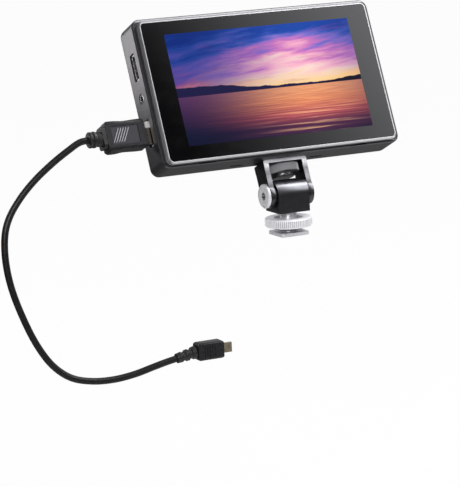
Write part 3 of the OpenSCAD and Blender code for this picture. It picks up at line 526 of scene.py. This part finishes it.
def socket_shade_and_turning(n):
    """Painted shade in the socket of the pivot screw's broad left head, and faint turning marks round it."""
    x, y, z = n.xyz(n.mm(move=tuple(-PIVOT)))
    r = n.radius(y, z)
    head = n.fall(x, -13.9, -13.6)
    rings = n.noise(n.combine(n.math("MULTIPLY", r, 2.6), 0.0, 0.0), 1.0, 2, 0.5)
    face = n.mix(n.product(n.step(rings, 0.42, 0.58, 0.35, 0.0), head), n.colour, (0.30, 0.30, 0.31))
    # near black painted shade inside the socket
    n.set(Base_Color=n.mix(n.product(n.step(r, 1.9, 2.6, 0.95, 0.0), head), face, (0.03, 0.03, 0.03)))


def grip_panel(n):
    """The grip's sunk panel is paler than its border, and the slanted ribs in it carry painted highlights."""
    x, _, z = n.leaning(PLUG_AT)
    lean, pitch, first_rib, ribs = math.radians(28), 1.6, -18.7, 5
    across = n.math("ADD", n.math("MULTIPLY_ADD", x, math.cos(lean), -first_rib * math.cos(lean)),
                    n.math("MULTIPLY", z, -math.sin(lean)))
    count = n.math("DIVIDE", across, pitch * math.cos(lean))
    off = n.size(n.math("SUBTRACT", n.math("FRACT", n.math("ADD", count, 0.5)), 0.5))
    rib_highlight = n.product(n.fall(off, 0.12, 0.26), n.band(count, -0.5, -0.4, ribs - 0.6, ribs - 0.5),
                    n.fall(n.size(z), 4.0, 4.4))
    panel = n.product(n.fall(n.size(z), 5.2, 5.5), n.band(x, -21.2, -20.9, -4.6, -4.3))
    # painted highlights on the ribs
    n.set(Base_Color=n.mix(rib_highlight, n.mix(panel, n.colour, (0.040, 0.038, 0.045)), (0.34, 0.335, 0.35)))


def shell_reflection(n):
    """The plug's nickel shell with a painted reflection: bright at its top edge and dark brown below, with a
    ragged border.
    """
    _, _, z = n.leaning(PLUG_AT)
    dark_reflection = n.fall(n.math("ADD", z, n.noise(n.mm(), 0.9, 3, 0.6)), 3.0, 4.2)
    # painted highlight at the top, painted dark brown reflection below
    n.set(Base_Color=n.mix(dark_reflection, (0.90, 0.88, 0.84), n.mix(0.25, (0.085, 0.066, 0.050), n.colour)),
          Metallic=n.step(dark_reflection, 0.0, 1.0, 0.35, 1.0))


def mouth_highlight(n):
    """The video sockets' shells carry a patchy painted highlight at the mouth and are dark inside."""
    x, _, _ = n.leaning(SIDE_AT)
    patchy = n.step(n.noise(n.mm(), 0.9, 3, 0.6), 0.38, 0.58, 0.35, 1.0)
    lip_highlight = n.product(n.fall(x, 0.9, 1.3), patchy)
    # painted highlight along the sockets' mouths
    n.set(Base_Color=n.mix(lip_highlight, n.colour, (0.90, 0.90, 0.91)), Metallic=n.step(lip_highlight, 0.0, 1.0, 1.0, 0.3))


def jack_ring(n):
    """A chromed ring round the headphone socket's bore."""
    x, y, z = n.leaning(SIDE_AT + Vector((0, PORT_D, JACK_UP)))
    patchy = n.step(n.noise(n.mm(), 0.42, 2, 0.5), 0.45, 0.56, 0.1, 1.0)
    ring = n.product(n.band(n.radius(y, z), 1.9, 2.0, 2.7, 2.9), n.fall(n.size(x), 1.3, 1.5), patchy)
    n.set(Base_Color=n.mix(ring, n.colour, (0.80, 0.80, 0.82)), Metallic=ring)


cut_edges(frame_plastic)
front_ledge(shell)
groove_shade(ring_metal)
front_highlights(anodised)
knurl_glints_and_shade(wheel_metal)
socket_shade_and_turning(pivot_metal)
grip_panel(grip_plastic)
shell_reflection(shell_metal)
mouth_highlight(socket_metal)
jack_ring(headphone)


# ---------- the CAD's nodes ----------

dress("rear_cover", shell, 0.15)
dress("front_frame", frame_plastic, 0.12)
dress("battery_plate", back_plastic, 0.2)
dress("battery_latch", catch_plastic, 0.15)
dress("power_button", button_plastic, 0.25)
dress("hdmi_out_socket", socket_metal, 0.08)
dress("hdmi_in_socket", socket_metal, 0.08)
dress("usb_socket", socket_metal, 0.05)
dress("audio_jack", headphone, 0.1)
dress("dc_jack", jack_plastic, 0.1)
dress("power_switch", jack_plastic)
dress("battery_contacts", gold, 0.05)
dress("thread_insert", brass)
dress("rear_screws", black_screw, 0.05)
dress("plate_screws", steel_screw, 0.05)
dress("board_screws", steel_screw)
dress("lcd_panel", cell)
dress("backlight_unit", acrylic)
dress("mid_chassis", sheet_metal)
dress("main_board", board_mask)
dress("heat_sink", cooler)
dress("yoke_bracket", anodised, 0.25, 3)
dress("tilt_block", block_metal, 0.35, 3)
dress("plate_pad", rubber)
dress("friction_washers", rubber)
dress("thumb_screw", steel_screw)
dress("pivot_screw", pivot_metal, 0.15)
dress("clamp_washer", anodised, 0.15)
dress("lock_ring", ring_metal, 0.08)
dress("shoe_foot", foot_metal, 0.2)
dress("hdmi_plug_shell", shell_metal, 0.15)
dress("hdmi_plug_body", grip_plastic, 0.2)
dress("hdmi_plug_boot", boot_plastic, 0.2)
dress("camera_plug_boot", boot_plastic, 0.2)
dress("camera_plug_body", plug_plastic, 0.3)
dress("camera_plug_shell", plug_metal, 0.1)


# ---------- knurled wheel ----------

def add_wheel():
    """The thumb wheel with a diamond knurl: pyramids between two families of spiral grooves."""
    columns, rows = 34, 5
    around = 2 * columns
    above = [(9.5, 17.2), (8.4, 17.2), (8.2, 17.0), (3.3, 17.0)]
    below = [(9.5, 11.5), (7.3, 11.5), (7.1, 11.3), (7.1, 10.4), (6.5, 9.8), (3.6, 9.8)]
    bm = bmesh.new()

    def circle(z, radius_at):
        """A ring of vertices, each at the radius for its number."""
        return [bm.verts.new(Vector((radius_at(i) * math.cos(a), radius_at(i) * math.sin(a), z)) * MM)
                for i, a in ((i, math.pi * i / columns) for i in range(around))]

    def turn(ring, profile):
        """Rings of the given radii and heights, joined to the knurl's end and closed on the axis."""
        for r, z in profile:
            new = circle(z, lambda i: r)
            for i in range(around):
                k = (i + 1) % around
                bm.faces.new((ring[i], ring[k], new[k], new[i]))
            ring = new
        bm.faces.new(ring)

    grid = [circle(KNURL_FROM + (KNURL_TO - KNURL_FROM) * j / rows,
                   lambda i: KNURL_HIGH if (i + j) % 2 else KNURL_LOW) for j in range(rows + 1)]
    for j in range(rows):
        for i in range(around):
            k = (i + 1) % around
            q = (grid[j][i], grid[j][k], grid[j + 1][k], grid[j + 1][i])
            if (i + j) % 2:
                q = q[1:] + q[:1]
            bm.faces.new((q[0], q[1], q[2]))
            bm.faces.new((q[0], q[2], q[3]))
    turn(grid[rows], above)
    turn(grid[0], below)
    o = make("knurled_wheel", bm, "thumbscrew", wheel_metal, YOKE, 25)
    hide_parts("thumb_wheel")


# ---------- covers in the two upper notches ----------

def add_notch_covers():
    """Small flush covers that close the hood's two upper notches, as in the photograph."""
    size, rounding = Vector((10.94, 1.13, 0.96)), 0.04
    y, z = 4.01, HOUSING_UP + 44.55
    for side, x in (("left", -50.0), ("right", 50.0)):
        bm = bmesh.new()
        bmesh.ops.create_cube(bm, size=1)
        bmesh.ops.scale(bm, vec=size * MM, verts=bm.verts)
        bmesh.ops.translate(bm, vec=Vector((x, y, z)) * MM, verts=bm.verts)
        bmesh.ops.bevel(bm, geom=bm.edges[:], offset=rounding * MM, segments=2, affect="EDGES")
        o = make("notch_cover_" + side, bm, "monitor", shell, SCREEN)


add_wheel()
add_notch_covers()


# ---------- stage, light and world, in metres ----------

def add_stage():
    """A pale floor below the hanging lead, white to the camera and shaded where metal mirrors it."""
    half, level, plain_share = 6.0, -0.16, 0.96
    me = bpy.data.meshes.new("studio_floor")
    corners = [(sx * half, sy * half, level) for sx, sy in ((-1, -1), (1, -1), (1, 1), (-1, 1))]
    me.from_pydata(corners, [], [(0, 1, 2, 3)])
    n = material("studio_white")
    n.set(Base_Color=(0.8, 0.8, 0.8, 1), Roughness=0.9)
    ray = n.new("LightPath").outputs
    x, y, _ = n.xyz(n.coord)
    mirrored = n.math("MAXIMUM", ray["Is Glossy Ray"], ray["Is Transmission Ray"])
    sheen = n.product(n.step(x, -0.60, 0.35, 0.14, 1.0), n.step(y, -0.42, -0.22, 0.04, 1.0),
                      n.step(y, 0.0, 0.2, 1.0, 0.22))
    glow = n.new("Emission")
    glow.inputs["Color"].default_value = (1, 1, 1, 1)
    n.put(glow.inputs["Strength"], n.math("MAXIMUM", ray["Is Camera Ray"], sheen))
    share = n.math("MAXIMUM", n.product(ray["Is Camera Ray"], plain_share), mirrored)
    n.put(n.out.inputs[0], n.fill(n.new("MixShader"), share, n.bsdf.outputs[0], glow.outputs[0]))
    me.materials.append(n.owner)
    o = bpy.data.objects.new("studio_floor", me)
    SCENE.collection.objects.link(o)


def add_world():
    """Bright behind and dim in front, with one large soft box at the front right that the glass mirrors."""
    box_light, dim, tint = 4.1, 0.03, (0.96, 0.97, 1.0, 1)
    world = bpy.data.worlds.new("studio")
    n = Net(world, "Generated")
    x, y, z = n.xyz(n.coord)
    leaning_edge = n.math("MULTIPLY_ADD", z, 0.6, n.math("ADD", x, -0.342))
    box = n.product(n.step(leaning_edge, 0.412, 0.53), n.fall(x, 0.66, 0.80),
                    n.band(z, 0.30, 0.42, 0.82, 0.92), n.fall(y, -0.48, -0.36))
    behind = n.product(n.step(y, -0.15, 0.25), n.math("ADD", n.step(x, -0.35, 0.15, 0.25, 0.45),
                                                      n.step(x, 0.34, 0.48, 0.0, 0.50)))
    light = n.math("MULTIPLY_ADD", box, box_light, n.math("MAXIMUM", behind, dim))
    soft = n.fill(n.new("Background"), tint, light)
    white = n.fill(n.new("Background"), (1, 1, 1, 1), 1.0)
    seen = n.new("LightPath").outputs["Is Camera Ray"]
    n.put(n.new("OutputWorld").inputs[0], n.fill(n.new("MixShader"), seen, soft, white))
    SCENE.world = world


def add_lamp(name, at, aim, side, power, colour):
    """A square area lamp of a side in metres and a power in watts."""
    data = bpy.data.lights.new(name, "AREA")
    data.shape = "RECTANGLE"
    data.size = data.size_y = side
    data.energy = power
    data.color = colour
    o = bpy.data.objects.new(name, data)
    o.location = at
    o.rotation_euler = (Vector(aim) - Vector(at)).to_track_quat("-Z", "Y").to_euler()
    o.visible_camera = False
    SCENE.collection.objects.link(o)


add_stage()
add_world()
add_lamp("key_softbox", (-0.75, -1.15, 0.62), (0, 0, 0.06), 0.7, 13, (0.98, 0.965, 1.0))
add_lamp("overhead_box", (0.66, -0.12, 1.12), (0, 0, 0.05), 0.75, 12, (1, 1, 1))
add_lamp("left_rear_box", (-0.20, 0.23, 0.105), (-0.08, 0.0, 0.10), 0.09, 0.15, (0.98, 0.955, 1.0))

SCENE.view_settings.view_transform = "Standard"
